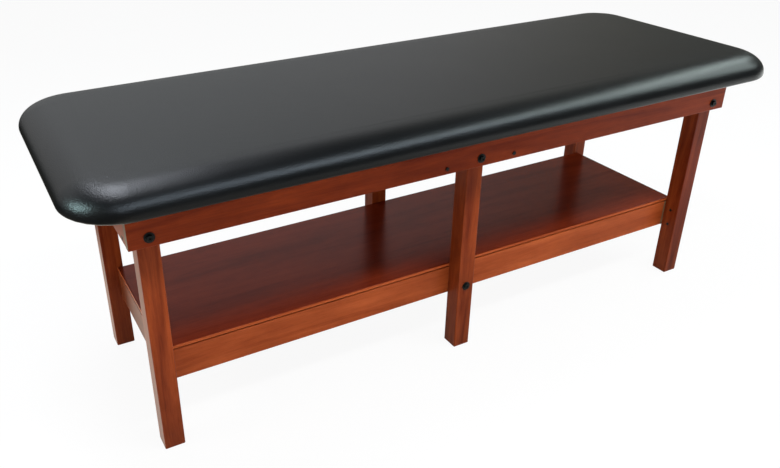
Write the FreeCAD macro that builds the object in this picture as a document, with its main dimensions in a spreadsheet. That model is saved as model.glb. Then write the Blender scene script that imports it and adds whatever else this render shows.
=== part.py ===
import FreeCAD, Part
import math
import os
import Sketcher

# Treatment bench with a padded top: six square legs bolted inside a deep apron,
# a storage shelf on a low frame, and a foam and vinyl pad on a plywood deck.
# The frame of the model stands on the floor at z = 0, centred under the pad,
# with +X along the bench and the front at -Y. Lengths are millimetres.

SIZES = [
    ("pad_length", 1829.0),
    ("pad_width", 660.0),
    ("pad_corner_radius", 118.0),
    ("pad_rise", 52.0),
    ("pad_crown", 3.0),
    ("pad_tuck", 12.0),
    ("pad_wall", 1.5),
    ("vinyl_thickness", 1.2),
    ("foam_clearance", 0.3),
    ("deck_thickness", 12.0),
    ("deck_inset", 22.0),
    ("hem_clearance", 14.0),
    ("seat_height", 611.0),
    ("end_overhang", 105.5),
    ("side_overhang", 76.0),
    ("apron_height", 96.0),
    ("apron_thickness", 19.0),
    ("board_round", 2.0),
    ("leg_width", 45.0),
    ("leg_depth", 45.0),
    ("leg_round", 2.5),
    ("foot_chamfer", 2.0),
    ("cross_bearer_offset", 94.0),
    ("cross_bearer_height", 88.0),
    ("cross_bearer_thickness", 19.0),
    ("deck_cleat_length", 240.0),
    ("deck_cleat_side", 22.0),
    ("rail_bottom", 145.0),
    ("rail_height", 75.0),
    ("rail_thickness", 19.0),
    ("shelf_thickness", 12.0),
    ("shelf_round", 3.0),
    ("shelf_chamfer", 4.0),
    ("shelf_bearer_height", 45.0),
    ("shelf_bearer_thickness", 19.0),
    ("glue_block_length", 45.0),
    ("glue_block_side", 18.0),
    ("tenon_thickness", 9.0),
    ("tenon_height", 58.0),
    ("tenon_length", 32.0),
    ("tenon_lift", 4.0),
    ("mortise_wall", 5.0),
    ("mortise_clearance", 0.1),
    ("mortise_end_gap", 1.0),
    ("pin_spacing", 45.0),
    ("pin_length", 26.0),
    ("pin_diameter", 4.0),
    ("pin_head_diameter", 7.5),
    ("pin_head_height", 1.6),
    ("dowel_diameter", 8.0),
    ("dowel_length", 28.0),
    ("dowel_set", 12.0),
    ("dowel_spacing", 22.0),
    ("dowel_clearance", 0.1),
    ("bolt_diameter", 6.0),
    ("bolt_head_diameter", 14.0),
    ("bolt_head_height", 5.0),
    ("bolt_socket_width", 5.0),
    ("bolt_socket_depth", 3.0),
    ("bolt_chamfer", 0.8),
    ("flat_head_diameter", 12.0),
    ("flat_socket_width", 4.0),
    ("flat_socket_depth", 1.8),
    ("bolt_clearance", 0.3),
    ("bolt_tail", 3.0),
    ("apron_bolt_rise", 20.5),
    ("end_bolt_rise", 10.5),
    ("wide_washer_diameter", 22.0),
    ("small_washer_diameter", 16.0),
    ("washer_thickness", 1.5),
    ("nut_width", 10.0),
    ("nut_height", 5.0),
    ("screw_diameter", 4.5),
    ("screw_head_diameter", 9.0),
    ("screw_head_height", 2.5),
    ("screw_clearance", 0.1),
    ("screw_bite", 9.0),
    ("bearer_screw_rise", 14.0),
    ("bearer_screw_spacing", 56.0),
    ("bearer_screw_bite", 30.0),
]

# Places that several pieces share, worked out from the sizes above.
FRAME_X = "(Sizes.pad_length / 2 - Sizes.end_overhang)"
FRAME_Y = "(Sizes.pad_width / 2 - Sizes.side_overhang)"
LEG_FACE_Y = f"({FRAME_Y} - Sizes.apron_thickness)"
LEG_AXIS_Y = f"({LEG_FACE_Y} - Sizes.leg_depth / 2)"
LEG_BACK_Y = f"({LEG_FACE_Y} - Sizes.leg_depth)"
LEG_FACE_X = f"({FRAME_X} - Sizes.apron_thickness)"
LEG_AXIS_X = f"({LEG_FACE_X} - Sizes.leg_width / 2)"
LEG_SIDE_X = f"({LEG_FACE_X} - Sizes.leg_width)"
APRON_BOTTOM = "(Sizes.seat_height - Sizes.apron_height)"
APRON_MIDDLE = "(Sizes.seat_height - Sizes.apron_height / 2)"
APRON_BOLT_Z = f"({APRON_BOTTOM} + Sizes.apron_bolt_rise)"
END_BOLT_Z = f"({APRON_BOTTOM} + Sizes.end_bolt_rise)"
SHELF_END_X = f"({LEG_SIDE_X} + Sizes.mortise_wall + Sizes.tenon_thickness)"
RAIL_END_X = f"({SHELF_END_X} - Sizes.rail_thickness)"
RAIL_BACK_Y = f"({LEG_BACK_Y} - Sizes.rail_thickness)"
RAIL_MIDDLE = "(Sizes.rail_bottom + Sizes.rail_height / 2)"
RAIL_TOP = "(Sizes.rail_bottom + Sizes.rail_height)"
TENON_MIDDLE = "(Sizes.rail_bottom + Sizes.tenon_lift + Sizes.tenon_height / 2)"
SHELF_BEARER_MIDDLE = f"({RAIL_TOP} - Sizes.shelf_bearer_height / 2)"
SHELF_BEARER_X = f"({RAIL_END_X} / 2)"
CLEAT_X = f"(({LEG_SIDE_X} + Sizes.cross_bearer_offset) / 2)"
DECK_X = "(Sizes.pad_length / 2 - Sizes.deck_inset)"
DECK_Y = "(Sizes.pad_width / 2 - Sizes.deck_inset)"
DECK_CORNER = "(Sizes.pad_corner_radius - Sizes.deck_inset)"
PAD_ROLL = "(Sizes.pad_rise - Sizes.pad_tuck - Sizes.pad_wall)"
HEM_WIDTH = "(Sizes.side_overhang - Sizes.deck_inset - Sizes.hem_clearance)"

# Hole sizes, and places of fasteners, dowels and blocks.
BOLT_HOLE = "(Sizes.bolt_diameter / 2 + Sizes.bolt_clearance)"
SCREW_HOLE = "(Sizes.screw_diameter / 2 + Sizes.screw_clearance)"
PIN_HOLE = "(Sizes.pin_diameter / 2 + Sizes.screw_clearance)"
DOWEL_HOLE = "(Sizes.dowel_diameter / 2 + Sizes.dowel_clearance)"
DECK_CLEAT_Y = f"({LEG_FACE_Y} - Sizes.deck_cleat_side / 2)"
DECK_SCREW_X = [f"({CLEAT_X} - Sizes.deck_cleat_length / 4)",
                f"({CLEAT_X} + Sizes.deck_cleat_length / 4)"]
BEARER_SCREW_Z = [f"({APRON_BOTTOM} + Sizes.bearer_screw_rise)",
                  f"({APRON_BOTTOM} + Sizes.bearer_screw_rise + Sizes.bearer_screw_spacing)"]
PIN_Z = [f"({TENON_MIDDLE} - Sizes.pin_spacing / 2)", f"({TENON_MIDDLE} + Sizes.pin_spacing / 2)"]
DOWEL_Z = [f"({SHELF_BEARER_MIDDLE} - Sizes.dowel_spacing / 2)",
           f"({SHELF_BEARER_MIDDLE} + Sizes.dowel_spacing / 2)"]
DOWEL_REST = "(Sizes.dowel_length - Sizes.dowel_set)"
RAIL_DOWEL_Y = f"({LEG_BACK_Y} - Sizes.rail_thickness / 2)"
BLOCK_Y = f"({RAIL_BACK_Y} - Sizes.glue_block_side / 2)"
BLOCK_X = [f"({SHELF_BEARER_X} / 2)", f"(({SHELF_BEARER_X} + {RAIL_END_X}) / 2)"]

# How far an edge may seem to lie off the level it is looked for at.
HAIR = 0.01

DOC = FreeCAD.newDocument("TreatmentBench")
SHEET = DOC.addObject("Spreadsheet::Sheet", "Sizes")
KEPT = []
X_AXIS = FreeCAD.Vector(1, 0, 0)
Y_AXIS = FreeCAD.Vector(0, 1, 0)
Z_AXIS = FreeCAD.Vector(0, 0, 1)


def fill_sheet():
    """Write each driving dimension and its alias into the sheet."""
    for row, (alias, number) in enumerate(SIZES, start=1):
        SHEET.set(f"A{row}", alias)
        SHEET.set(f"B{row}", str(number))
        SHEET.setAlias(f"B{row}", alias)
    DOC.recompute()


def value(expression):
    """The present length of an expression in the sheet's sizes."""
    return float(SHEET.evalExpression(expression))


def keep(piece, label):
    """Mark a document object as one sub-part of the bench."""
    piece.Label = label
    KEPT.append(piece)
    return piece


def new_body(label):
    return DOC.addObject("PartDesign::Body", label + "_body")


def stand(body, at_x="0", at_y="0", at_z="0"):
    """Place a body's own origin in the bench."""
    body.setExpression("Placement.Base.x", at_x)
    body.setExpression("Placement.Base.y", at_y)
    body.setExpression("Placement.Base.z", at_z)


def sketch_on(body, role, name, along="0"):
    """A sketch parallel to one origin plane, moved along that plane's axis."""
    sketch = body.newObject("Sketcher::SketchObject", f"{body.Name}_{name}")
    plane = next(item for item in body.Origin.OriginFeatures if item.Role == role)
    sketch.AttachmentSupport = [(plane, "")]
    sketch.MapMode = "FlatFace"
    facing = "-" if role == "XZ_Plane" else ""
    sketch.setExpression("AttachmentOffset.Base.z", f"{facing}({along})")
    return sketch


def pin_point(sketch, geometry, point, at_x, at_y):
    """Fix one point of a sketch by its two distances from the origin."""
    for kind, expression in (("DistanceX", at_x), ("DistanceY", at_y)):
        number = value(expression)
        index = sketch.addConstraint(
            Sketcher.Constraint(kind, -1, 1, geometry, point, number))
        sketch.setExpression(f"Constraints[{index}]", expression)


def draw_outline(sketch, corners):
    """A closed outline of straight lines through corners given as expressions."""
    places = [FreeCAD.Vector(value(x), value(y), 0) for x, y in corners]
    first = sketch.GeometryCount
    count = len(corners)
    for index, place in enumerate(places):
        following = places[(index + 1) % count]
        sketch.addGeometry(Part.LineSegment(place, following))
    for index, (at_x, at_y) in enumerate(corners):
        before = first + (index - 1) % count
        sketch.addConstraint(
            Sketcher.Constraint("Coincident", before, 2, first + index, 1))
        pin_point(sketch, first + index, 1, at_x, at_y)


def draw_rectangle(sketch, half_x, half_y, mid_x="0", mid_y="0"):
    draw_outline(sketch, [
        (f"{mid_x} - {half_x}", f"{mid_y} - {half_y}"),
        (f"{mid_x} + {half_x}", f"{mid_y} - {half_y}"),
        (f"{mid_x} + {half_x}", f"{mid_y} + {half_y}"),
        (f"{mid_x} - {half_x}", f"{mid_y} + {half_y}"),
    ])


def draw_circles(sketch, places, radius):
    """Circles of one radius at places given as pairs of expressions."""
    up = FreeCAD.Vector(0, 0, 1)
    for at_x, at_y in places:
        centre = FreeCAD.Vector(value(at_x), value(at_y), 0)
        index = sketch.addGeometry(Part.Circle(centre, up, value(radius)))
        pin_point(sketch, index, 3, at_x, at_y)
        size = sketch.addConstraint(Sketcher.Constraint("Radius", index, value(radius)))
        sketch.setExpression(f"Constraints[{size}]", radius)


def draw_rounded(sketch, half_x, half_y, radius):
    """A rectangle about the origin with four equal round corners."""
    reach_x, reach_y, turn = value(half_x), value(half_y), value(radius)
    up = FreeCAD.Vector(0, 0, 1)
    corners = [(1, -1), (1, 1), (-1, 1), (-1, -1)]
    for quarter, (side_x, side_y) in enumerate(corners):
        centre = FreeCAD.Vector(side_x * (reach_x - turn), side_y * (reach_y - turn), 0)
        start = (quarter - 1) * math.pi / 2
        arc = Part.ArcOfCircle(Part.Circle(centre, up, turn), start, start + math.pi / 2)
        sketch.addGeometry(arc)
    for quarter in range(4):
        leaving = sketch.getPoint(quarter, 2)
        arriving = sketch.getPoint((quarter + 1) % 4, 1)
        sketch.addGeometry(Part.LineSegment(leaving, arriving))
    for quarter in range(4):
        following = (quarter + 1) % 4
        side = 4 + quarter
        sketch.addConstraint(Sketcher.Constraint("Tangent", quarter, 2, side, 1))
        sketch.addConstraint(Sketcher.Constraint("Tangent", side, 2, following, 1))
        if quarter:
            sketch.addConstraint(Sketcher.Constraint("Equal", 0, quarter))
    for side, kind in ((4, "Vertical"), (5, "Horizontal")):
        sketch.addConstraint(Sketcher.Constraint(kind, side))
    pin_point(sketch, 1, 3, f"{half_x} - ({radius})", f"{half_y} - ({radius})")
    sketch.addConstraint(Sketcher.Constraint("Symmetric", 1, 3, 3, 3, -1, 1))
    size = sketch.addConstraint(Sketcher.Constraint("Radius", 0, turn))
    sketch.setExpression(f"Constraints[{size}]", radius)


def draw_crowned(sketch, half, low, high, crown):
    """A section with a flat bottom, upright sides and a shallow arc over the top."""
    corners = [(f"-{half}", low), (half, low), (half, high), (f"-{half}", high)]
    places = [FreeCAD.Vector(value(x), value(y), 0) for x, y in corners]
    radius = f"({half} ^ 2 + {crown} ^ 2) / (2 * {crown})"
    turn = value(radius)
    centre = FreeCAD.Vector(0, value(f"{high} + {crown}") - turn, 0)
    start = math.asin((places[2].y - centre.y) / turn)
    top = Part.ArcOfCircle(Part.Circle(centre, FreeCAD.Vector(0, 0, 1), turn), start, math.pi - start)
    sides = [Part.LineSegment(places[0], places[1]), Part.LineSegment(places[1], places[2]), top,
             Part.LineSegment(places[3], places[0])]
    for side in sides:
        sketch.addGeometry(side)
    for index, (at_x, at_y) in enumerate(corners):
        sketch.addConstraint(Sketcher.Constraint("Coincident", (index - 1) % 4, 2, index, 1))
        pin_point(sketch, index, 1, at_x, at_y)
    size = sketch.addConstraint(Sketcher.Constraint("Radius", 2, turn))
    sketch.setExpression(f"Constraints[{size}]", radius)


def pad(body, sketch, length, symmetric=True):
    """Thicken a sketch, to both sides of its plane or upwards."""
    feature = body.newObject("PartDesign::Pad", sketch.Name + "_pad")
    feature.Profile = sketch
    feature.SideType = "Symmetric" if symmetric else "One side"
    feature.setExpression("Length", length)
    DOC.recompute()
    return feature


def cut(body, sketch, depth=None):
    """Sink a sketch to a depth on both sides of its plane, or cut right through."""
    before = body.Shape.Volume
    feature = body.newObject("PartDesign::Pocket", sketch.Name + "_cut")
    feature.Profile = sketch
    feature.SideType = "Symmetric"
    if depth is None:
        feature.Type = "ThroughAll"
    else:
        feature.setExpression("Length", f"2 * ({depth})")
    DOC.recompute()
    if not body.Shape.Volume < before:
        raise RuntimeError(f"{feature.Name} removes nothing")
    return feature


def drill(body, role, name, places, radius, along="0", depth=None):
    sketch = sketch_on(body, role, name, along)
    draw_circles(sketch, places, radius)
    return cut(body, sketch, depth)


def straight_edges(shape, direction, where=None):
    """Names of the straight edges that run one way, filtered by their middle."""
    names = []
    for index, edge in enumerate(shape.Edges, start=1):
        if edge.Curve.TypeId != "Part::GeomLine":
            continue
        along = edge.tangentAt(edge.FirstParameter)
        if abs(along.dot(direction)) < 0.999:
            continue
        if where is None or where(edge.CenterOfMass):
            names.append(f"Edge{index}")
    return names


def edges_between(shape, low, high):
    """Names of the edges that lie wholly between two levels."""
    return [f"Edge{index}" for index, edge in enumerate(shape.Edges, start=1)
            if low < edge.BoundBox.ZMin and edge.BoundBox.ZMax < high]


def ease(body, kind, names, size, label):
    """Round over or chamfer the named edges of a body's last feature."""
    base = body.Tip
    feature = body.newObject(f"PartDesign::{kind}", f"{body.Name}_{label}")
    feature.Base = (base, names)
    feature.setExpression("Radius" if kind == "Fillet" else "Size", size)
    DOC.recompute()
    return feature


def pad_form(label, skin, bottom):
    """The pad's crowned and rolled form, drawn in all round by a skin.

    A crowned section runs the pad's length. Then the corners are rounded, the top
    rim is rolled over and the bottom rim is tucked under.
    """
    body = new_body(label)
    shoulder = f"(Sizes.pad_rise - {skin})"
    section = sketch_on(body, "YZ_Plane", "section")
    draw_crowned(section, f"(Sizes.pad_width / 2 - {skin})", bottom, shoulder, "Sizes.pad_crown")
    pad(body, section, f"(Sizes.pad_length - 2 * {skin})")
    corners = straight_edges(body.Shape, Z_AXIS)
    ease(body, "Fillet", corners, f"(Sizes.pad_corner_radius - {skin})", "corners")
    height = body.Shape.BoundBox
    middle = (height.ZMin + height.ZMax) / 2
    ease(body, "Fillet", edges_between(body.Shape, middle, math.inf), f"({PAD_ROLL} - {skin})",
         "roll")
    ease(body, "Fillet", edges_between(body.Shape, -math.inf, value(bottom) + HAIR),
         f"(Sizes.pad_tuck - {skin})", "tuck")
    return body


def build_vinyl_cover():
    """Sewn vinyl drawn over the foam and folded under the deck as a hem."""
    lift = "(-Sizes.vinyl_thickness)"
    outside = pad_form("vinyl_outside", "0", lift)
    opening = sketch_on(outside, "XY_Plane", "opening", lift)
    draw_rounded(opening, f"({DECK_X} - {HEM_WIDTH})", f"({DECK_Y} - {HEM_WIDTH})",
                 f"({DECK_CORNER} - {HEM_WIDTH})")
    cut(outside, opening, "2 * Sizes.vinyl_thickness")
    hollow = pad_form("vinyl_inside", "Sizes.vinyl_thickness", "0")
    cover = DOC.addObject("Part::Cut", "vinyl_cover_cut")
    cover.Base = outside
    cover.Tool = hollow
    cover.Placement.Base = FreeCAD.Vector(0, 0, value("Sizes.seat_height"))
    cover.setExpression("Placement.Base.z", "Sizes.seat_height")
    keep(cover, "vinyl_cover")


def build_foam_pad():
    """Foam slab with a rolled rim that wraps the plywood deck."""
    skin = "(Sizes.vinyl_thickness + Sizes.foam_clearance)"
    body = pad_form("foam", skin, "0")
    recess = sketch_on(body, "XY_Plane", "recess")
    draw_rounded(recess, f"({DECK_X} + Sizes.foam_clearance)",
                 f"({DECK_Y} + Sizes.foam_clearance)", f"({DECK_CORNER} + Sizes.foam_clearance)")
    cut(body, recess, "Sizes.deck_thickness")
    stand(body, at_z="Sizes.seat_height")
    keep(body, "foam_pad")


def build_deck_board():
    """Plywood deck under the foam, standing on the frame."""
    body = new_body("deck")
    outline = sketch_on(body, "XY_Plane", "outline")
    draw_rounded(outline, DECK_X, DECK_Y, DECK_CORNER)
    pad(body, outline, "Sizes.deck_thickness", symmetric=False)
    places = [(f"{side_x} * {x}", f"{side_y} * {DECK_CLEAT_Y}")
              for x in DECK_SCREW_X for side_x in (-1, 1) for side_y in (-1, 1)]
    drill(body, "XY_Plane", "pilots", places, SCREW_HOLE, depth="Sizes.screw_bite")
    stand(body, at_z="Sizes.seat_height")
    keep(body, "deck_board")


def build_apron(label, side):
    """Long apron outside the legs, with a bolt at each leg and the bearer screws."""
    body = new_body(label)
    outline = sketch_on(body, "XZ_Plane", "outline")
    draw_rectangle(outline, FRAME_X, "Sizes.apron_height / 2")
    pad(body, outline, "Sizes.apron_thickness")
    rounded = straight_edges(body.Shape, X_AXIS)
    ease(body, "Fillet", rounded, "Sizes.board_round", "round")
    bolt_z = f"{APRON_BOLT_Z} - {APRON_MIDDLE}"
    bolts = [(x, bolt_z) for x in (f"-{LEG_AXIS_X}", "0", LEG_AXIS_X)]
    drill(body, "XZ_Plane", "bolt_holes", bolts, BOLT_HOLE)
    screws = [(f"{way} * Sizes.cross_bearer_offset", f"{z} - {APRON_MIDDLE}")
              for way in (-1, 1) for z in BEARER_SCREW_Z]
    drill(body, "XZ_Plane", "screw_holes", screws, SCREW_HOLE)
    stand(body, at_y=f"{side} * ({FRAME_Y} - Sizes.apron_thickness / 2)",
          at_z=APRON_MIDDLE)
    keep(body, label)


def build_end_apron(label, side):
    """Short apron let in between the long ones, with a sunk bolt to each corner leg."""
    body = new_body(label)
    outline = sketch_on(body, "YZ_Plane", "outline")
    draw_rectangle(outline, LEG_FACE_Y, "Sizes.apron_height / 2")
    pad(body, outline, "Sizes.apron_thickness")
    rounded = straight_edges(body.Shape, Y_AXIS)
    ease(body, "Fillet", rounded, "Sizes.board_round", "round")
    bolt_z = f"{END_BOLT_Z} - {APRON_MIDDLE}"
    drill(body, "YZ_Plane", "bolt_holes",
          [(f"-{LEG_AXIS_Y}", bolt_z), (LEG_AXIS_Y, bolt_z)], BOLT_HOLE)
    mouths = [f"Edge{index}" for index, edge in enumerate(body.Shape.Edges, start=1)
              if edge.Curve.TypeId == "Part::GeomCircle" and edge.Closed
              and edge.CenterOfMass.x * side > 0]
    ease(body, "Chamfer", mouths, f"(Sizes.flat_head_diameter / 2 - {BOLT_HOLE})", "sinks")
    stand(body, at_x=f"{side} * ({FRAME_X} - Sizes.apron_thickness / 2)",
          at_z=APRON_MIDDLE)
    keep(body, label)


def build_cross_bearer(label, side):
    """Board on edge between the long aprons that carries the deck mid-way."""
    body = new_body(label)
    middle = "(Sizes.seat_height - Sizes.cross_bearer_height / 2)"
    outline = sketch_on(body, "YZ_Plane", "outline")
    draw_rectangle(outline, LEG_FACE_Y, "Sizes.cross_bearer_height / 2")
    pad(body, outline, "Sizes.cross_bearer_thickness")
    ease(body, "Fillet", straight_edges(body.Shape, Y_AXIS), "Sizes.board_round", "round")
    places = [("0", f"{z} - {middle}") for z in BEARER_SCREW_Z]
    for end in (-1, 1):
        drill(body, "XZ_Plane", f"pilots_{end + 1}", places, SCREW_HOLE,
              along=f"{end} * {LEG_FACE_Y}", depth="Sizes.bearer_screw_bite")
    stand(body, at_x=f"{side} * Sizes.cross_bearer_offset", at_z=middle)
    keep(body, label)


def square_leg(label):
    """Square leg with eased corners and a chamfered foot, before its holes."""
    body = new_body(label)
    section = sketch_on(body, "XY_Plane", "section")
    draw_rectangle(section, "Sizes.leg_width / 2", "Sizes.leg_depth / 2")
    pad(body, section, "Sizes.seat_height", symmetric=False)
    ease(body, "Fillet", straight_edges(body.Shape, Z_AXIS), "Sizes.leg_round", "round")
    foot = edges_between(body.Shape, -math.inf, HAIR)
    ease(body, "Chamfer", foot, "Sizes.foot_chamfer", "foot")
    return body


def build_corner_leg(label, side_x, side_y):
    """Corner leg: bolted both ways at the apron, mortised for the end stretcher."""
    body = square_leg(label)
    drill(body, "XZ_Plane", "apron_hole", [("0", APRON_BOLT_Z)], BOLT_HOLE)
    drill(body, "YZ_Plane", "end_hole", [("0", END_BOLT_Z)], BOLT_HOLE)
    mortise = sketch_on(body, "XZ_Plane", "mortise", f"{-side_y} * Sizes.leg_depth / 2")
    middle = f"{side_x} * (Sizes.mortise_wall + (Sizes.tenon_thickness - Sizes.leg_width) / 2)"
    draw_rectangle(mortise, "(Sizes.tenon_thickness / 2 + Sizes.mortise_clearance)",
                   "(Sizes.tenon_height / 2 + Sizes.mortise_clearance)", middle, TENON_MIDDLE)
    cut(body, mortise, "Sizes.tenon_length + Sizes.mortise_end_gap")
    drill(body, "YZ_Plane", "pin_holes", [("0", z) for z in PIN_Z], PIN_HOLE,
          along=f"{-side_x} * Sizes.leg_width / 2", depth="Sizes.pin_length")
    stand(body, at_x=f"{side_x} * {LEG_AXIS_X}", at_y=f"{side_y} * {LEG_AXIS_Y}")
    keep(body, label)


def build_middle_leg(label, side_y):
    """Middle leg: one bolt through the apron and one through the low rail."""
    body = square_leg(label)
    drill(body, "XZ_Plane", "apron_hole", [("0", APRON_BOLT_Z)], BOLT_HOLE)
    drill(body, "XZ_Plane", "rail_hole", [("0", RAIL_MIDDLE)], BOLT_HOLE)
    stand(body, at_y=f"{side_y} * {LEG_AXIS_Y}")
    keep(body, label)


def build_lower_rail(label, side_y):
    """Long rail behind the legs that carries the shelf."""
    body = new_body(label)
    outline = sketch_on(body, "XZ_Plane", "outline")
    draw_rectangle(outline, RAIL_END_X, "Sizes.rail_height / 2")
    pad(body, outline, "Sizes.rail_thickness")
    ease(body, "Fillet", straight_edges(body.Shape, X_AXIS), "Sizes.board_round", "round")
    drill(body, "XZ_Plane", "bolt_hole", [("0", "0")], BOLT_HOLE)
    dowel_z = [f"{z} - {RAIL_MIDDLE}" for z in DOWEL_Z]
    for end in (-1, 1):
        drill(body, "YZ_Plane", f"end_dowels_{end + 1}", [("0", z) for z in dowel_z],
              DOWEL_HOLE, along=f"{end} * {RAIL_END_X}", depth=DOWEL_REST)
    places = [(f"{way} * {SHELF_BEARER_X}", z) for way in (-1, 1) for z in dowel_z]
    drill(body, "XZ_Plane", "bearer_dowels", places, DOWEL_HOLE,
          along=f"{-side_y} * Sizes.rail_thickness / 2", depth="Sizes.dowel_set")
    stand(body, at_y=f"{side_y} * {RAIL_DOWEL_Y}", at_z=RAIL_MIDDLE)
    keep(body, label)


def build_end_stretcher(label, side_x):
    """Low end board with a bare-faced tenon into each corner leg."""
    body = new_body(label)
    outline = sketch_on(body, "YZ_Plane", "outline")
    draw_rectangle(outline, LEG_BACK_Y, "Sizes.rail_height / 2")
    pad(body, outline, "Sizes.rail_thickness")
    ease(body, "Fillet", straight_edges(body.Shape, Y_AXIS), "Sizes.board_round", "round")
    tenon_x = f"{side_x} * (Sizes.rail_thickness - Sizes.tenon_thickness) / 2"
    tenons = sketch_on(body, "YZ_Plane", "tenons", tenon_x)
    draw_rectangle(tenons, f"({LEG_BACK_Y} + Sizes.tenon_length)", "Sizes.tenon_height / 2",
                   mid_y=f"({TENON_MIDDLE} - {RAIL_MIDDLE})")
    pad(body, tenons, "Sizes.tenon_thickness")
    places = [(f"{way} * {LEG_AXIS_Y}", f"{z} - {RAIL_MIDDLE}")
              for way in (-1, 1) for z in PIN_Z]
    drill(body, "YZ_Plane", "pin_holes", places, PIN_HOLE)
    places = [(f"{way} * {RAIL_DOWEL_Y}", f"{z} - {RAIL_MIDDLE}")
              for way in (-1, 1) for z in DOWEL_Z]
    drill(body, "YZ_Plane", "dowel_holes", places, DOWEL_HOLE,
          along=f"{-side_x} * Sizes.rail_thickness / 2", depth="Sizes.dowel_set")
    stand(body, at_x=f"{side_x} * ({SHELF_END_X} - Sizes.rail_thickness / 2)", at_z=RAIL_MIDDLE)
    keep(body, label)


def build_shelf_bearer(label, side_x):
    """Cross board doweled between the low rails under the shelf."""
    body = new_body(label)
    outline = sketch_on(body, "YZ_Plane", "outline")
    draw_rectangle(outline, RAIL_BACK_Y, "Sizes.shelf_bearer_height / 2")
    pad(body, outline, "Sizes.shelf_bearer_thickness")
    ease(body, "Fillet", straight_edges(body.Shape, Y_AXIS), "Sizes.board_round", "round")
    places = [("0", f"{z} - {SHELF_BEARER_MIDDLE}") for z in DOWEL_Z]
    for end in (-1, 1):
        drill(body, "XZ_Plane", f"dowels_{end + 1}", places, DOWEL_HOLE,
              along=f"{end} * {RAIL_BACK_Y}", depth=DOWEL_REST)
    stand(body, at_x=f"{side_x} * {SHELF_BEARER_X}", at_z=SHELF_BEARER_MIDDLE)
    keep(body, label)


def build_shelf_panel():
    """Storage shelf between the legs, flush with the low frame's outside."""
    body = new_body("shelf")
    outline = sketch_on(body, "XY_Plane", "outline")
    draw_rectangle(outline, SHELF_END_X, LEG_BACK_Y)
    pad(body, outline, "Sizes.shelf_thickness", symmetric=False)
    for size, kind, label, upper in (("Sizes.shelf_round", "Fillet", "top", True),
                                     ("Sizes.shelf_chamfer", "Chamfer", "bottom", False)):
        half = value("Sizes.shelf_thickness") / 2
        names = []
        for direction in (X_AXIS, Y_AXIS):
            names += straight_edges(body.Shape, direction,
                                    lambda middle: (middle.z > half) == upper)
        ease(body, kind, names, size, label)
    places = [(f"{side_x} * {x}", f"{side_y} * {BLOCK_Y}")
              for x in BLOCK_X for side_x in (-1, 1) for side_y in (-1, 1)]
    drill(body, "XY_Plane", "pilots", places, SCREW_HOLE, depth="Sizes.screw_bite")
    stand(body, at_z=RAIL_TOP)
    keep(body, "shelf_panel")


def build_deck_cleat(label, side_x, side_y):
    """Wooden cleat glued inside the apron, screwed up into the deck."""
    body = new_body(label)
    section = sketch_on(body, "YZ_Plane", "section")
    draw_rectangle(section, "Sizes.deck_cleat_side / 2", "Sizes.deck_cleat_side / 2")
    pad(body, section, "Sizes.deck_cleat_length")
    open_edge = straight_edges(body.Shape, X_AXIS,
                               lambda middle: middle.z < 0 and middle.y * side_y < 0)
    ease(body, "Chamfer", open_edge, "Sizes.board_round", "edge")
    places = [(f"{way} * Sizes.deck_cleat_length / 4", "0") for way in (-1, 1)]
    drill(body, "XY_Plane", "screw_holes", places, SCREW_HOLE)
    stand(body, at_x=f"{side_x} * {CLEAT_X}", at_y=f"{side_y} * {DECK_CLEAT_Y}",
          at_z="Sizes.seat_height - Sizes.deck_cleat_side / 2")
    keep(body, label)


def turned(label, outline):
    """A body turned about the vertical axis from half its section."""
    body = new_body(label)
    section = sketch_on(body, "XZ_Plane", "profile")
    draw_outline(section, outline)
    feature = body.newObject("PartDesign::Revolution", label + "_turned")
    feature.Profile = section
    feature.ReferenceAxis = (section, ["V_Axis"])
    DOC.recompute()
    return body


def fastener(label, head_radius, head_height, shank_radius, length):
    """A turned bolt, screw or pin, head up, with the head's seat at its origin."""
    return turned(label, [
        ("0", f"-({length})"),
        (shank_radius, f"-({length})"),
        (shank_radius, "0"),
        (head_radius, "0"),
        (head_radius, head_height),
        ("0", head_height),
    ])


def sink_socket(body, level, width, depth):
    """Sink a hexagon socket into a bolt's head."""
    hexagon = sketch_on(body, "XY_Plane", "socket", level)
    across = f"{width} / 2 / cos(30)"
    draw_outline(hexagon, [(f"{across} * cos({60 * corner})", f"{across} * sin({60 * corner})")
                           for corner in range(6)])
    cut(body, hexagon, depth)


def cap_bolt(label, length):
    """A socket bolt with a chamfered cap head."""
    height = "Sizes.bolt_head_height"
    body = fastener(label, "Sizes.bolt_head_diameter / 2", height, "Sizes.bolt_diameter / 2", length)
    top = value(height) - HAIR
    ease(body, "Chamfer", edges_between(body.Shape, top, math.inf), "Sizes.bolt_chamfer", "rim")
    sink_socket(body, height, "Sizes.bolt_socket_width", "Sizes.bolt_socket_depth")
    return body


def flat_bolt(label, length):
    """A socket bolt whose cone head ends flush with the board it is sunk in."""
    head, shank = "Sizes.flat_head_diameter / 2", "Sizes.bolt_diameter / 2"
    body = turned(label, [
        ("0", f"-({length})"),
        (shank, f"-({length})"),
        (shank, f"-({head} - {shank})"),
        (head, "0"),
        ("0", "0"),
    ])
    sink_socket(body, "0", "Sizes.flat_socket_width", "Sizes.flat_socket_depth")
    return body


def copies(label, master, places):
    """Identical loose pieces: copies of one shape, each at a place and a facing."""
    solids = []
    for place, facing in places:
        turn = FreeCAD.Rotation(Z_AXIS, FreeCAD.Vector(*facing))
        spot = FreeCAD.Vector(*[value(item) for item in place])
        solid = master.copy()
        solid.Placement = FreeCAD.Placement(spot, turn)
        solids.append(solid)
    group = DOC.addObject("Part::Feature", label + "_group")
    group.Shape = Part.Compound(solids)
    group.Placement = FreeCAD.Placement()
    keep(group, label)


def ring(outer_radius, hole_radius, thickness):
    """A washer standing on its seat."""
    disc = Part.makeCylinder(value(outer_radius), value(thickness))
    return disc.cut(Part.makeCylinder(value(hole_radius), value(thickness)))


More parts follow.
